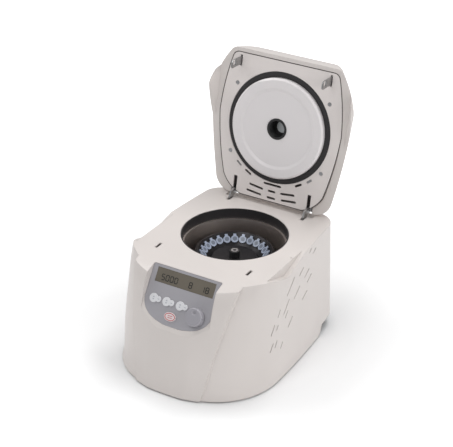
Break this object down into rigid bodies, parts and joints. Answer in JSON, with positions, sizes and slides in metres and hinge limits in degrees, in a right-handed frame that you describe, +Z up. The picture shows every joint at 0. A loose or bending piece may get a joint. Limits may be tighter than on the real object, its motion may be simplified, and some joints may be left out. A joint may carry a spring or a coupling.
{
  "type": "benchtop microcentrifuge",
  "caption": "Benchtop microcentrifuge with a hinged lid held open, a ring of capped tubes in its angled rotor, and a sloping control panel with a display, keys and a knob.",
  "frame": {"origin": "centre of the whole object's box, on the surface that the feet stand on", "axes": "+X to the object's right seen from the front, -Y is the front, +Z up"},
  "size_m": [0.283, 0.4584, 0.4555],
  "materials": {
    "white_moulding": "satin",
    "black_tray": "satin",
    "foot_rubber": "matt",
    "fastener_steel": "satin",
    "fascia_grey": "matt",
    "window_clear": "gloss",
    "display_glass": "gloss",
    "board_green": "satin",
    "switch_black": "matt",
    "key_white": "satin",
    "start_key_white": "satin",
    "knob_grey": "satin",
    "seal_rubber": "matt",
    "bowl_steel": "brushed",
    "stand_steel": "satin",
    "motor_paint": "satin",
    "bearing_steel": "polished",
    "stator_iron": "matt",
    "magnet_black": "satin",
    "arm_steel": "brushed",
    "frame_steel": "satin",
    "hook_steel": "brushed",
    "dish_white": "satin",
    "sight_black": "satin",
    "sight_glass": "gloss",
    "rotor_alloy": "anodised",
    "tube_blue": "satin",
    "nut_black": "satin",
    "fan_black": "satin",
    "pin_brass": "satin",
    "coil_yellow": "satin"
  },
  "bodies": {
    "base": {"main_housing": "white_moulding", "base_tray": "black_tray", "feet": "foot_rubber", "housing_screws": "fastener_steel", "control_fascia": "fascia_grey", "display_window": "window_clear", "display_module": "display_glass", "control_board": "board_green", "key_switches": "switch_black", "encoder": "fastener_steel", "mouth_seal": "seal_rubber", "chamber_bowl": "bowl_steel", "bowl_screws": "fastener_steel", "bowl_boot": "seal_rubber", "motor_stand": "stand_steel", "motor_dampers": "foot_rubber", "motor_can": "motor_paint", "motor_cover": "motor_paint", "motor_bearings": "bearing_steel", "motor_stator": "stator_iron", "motor_screws": "fastener_steel", "hinge_arms": "arm_steel", "latch_bracket": "stand_steel", "latch_screws": "fastener_steel", "latch_actuator": "coil_yellow", "power_board": "board_green", "drive_board": "board_green", "fan_frame": "fan_black", "fan_screws": "fastener_steel", "power_inlet": "switch_black", "inlet_pins": "pin_brass", "power_switch": "switch_black"},
    "lid": {"lid_shell": "white_moulding", "lid_panel": "white_moulding", "lid_screws": "fastener_steel", "lid_frame": "frame_steel", "lid_gasket": "seal_rubber", "lid_dish": "dish_white", "sight_tube": "sight_black", "sight_glass": "sight_glass", "lid_hinge_brackets": "frame_steel", "hinge_pins": "bearing_steel", "latch_hooks": "hook_steel"},
    "rotor": {"rotor": "rotor_alloy", "spindle": "bearing_steel", "motor_magnet": "magnet_black", "sample_tubes": "tube_blue", "rotor_nut": "nut_black", "rotor_bolt": "bearing_steel"},
    "knob": {"control_knob": "knob_grey", "encoder_shaft": "fastener_steel"},
    "key_1": {"key_1": "key_white"},
    "key_2": {"key_2": "key_white"},
    "key_3": {"key_3": "key_white"},
    "start_key": {"start_stop_key": "start_key_white"},
    "latch_slider": {"latch_bar": "arm_steel", "latch_plunger": "bearing_steel"},
    "rocker": {"power_rocker": "switch_black"},
    "fan": {"fan_rotor": "fan_black"}
  },
  "joints": [
    {"name": "lid_hinge", "type": "hinge", "parent": "base", "child": "lid", "pos_m": [0, 0.12283, 0.2053], "axis": [1, 0, 0], "range_deg": [0, 100.4]},
    {"name": "rotor_spin", "type": "hinge", "parent": "base", "child": "rotor", "pos_m": [0, -0.00617, 0.12], "axis": [0, 0, 1], "continuous": true},
    {"name": "knob_turn", "type": "hinge", "parent": "base", "child": "knob", "pos_m": [0.0368, -0.18831, 0.13863], "axis": [0, -0.8411, 0.5408], "continuous": true},
    {"name": "key_1_press", "type": "slide", "parent": "base", "child": "key_1", "axis": [0, 0.8411, -0.5408], "range_m": [0, 0.0008], "stiffness_N_per_m": 400},
    {"name": "key_2_press", "type": "slide", "parent": "base", "child": "key_2", "axis": [0, 0.8411, -0.5408], "range_m": [0, 0.0008], "stiffness_N_per_m": 400},
    {"name": "key_3_press", "type": "slide", "parent": "base", "child": "key_3", "axis": [0, 0.8411, -0.5408], "range_m": [0, 0.0008], "stiffness_N_per_m": 400},
    {"name": "start_key_press", "type": "slide", "parent": "base", "child": "start_key", "axis": [0, 0.8411, -0.5408], "range_m": [0, 0.0008], "stiffness_N_per_m": 400},
    {"name": "latch_slide", "type": "slide", "parent": "base", "child": "latch_slider", "axis": [1, 0, 0], "range_m": [0, 0.006], "stiffness_N_per_m": 300},
    {"name": "rocker_tilt", "type": "hinge", "parent": "base", "child": "rocker", "pos_m": [0.058, 0.12683, 0.072], "axis": [1, 0, 0], "range_deg": [0, 14]},
    {"name": "fan_spin", "type": "hinge", "parent": "base", "child": "fan", "pos_m": [-0.055, 0.12383, 0.062], "axis": [0, 1, 0], "continuous": true}
  ]
}
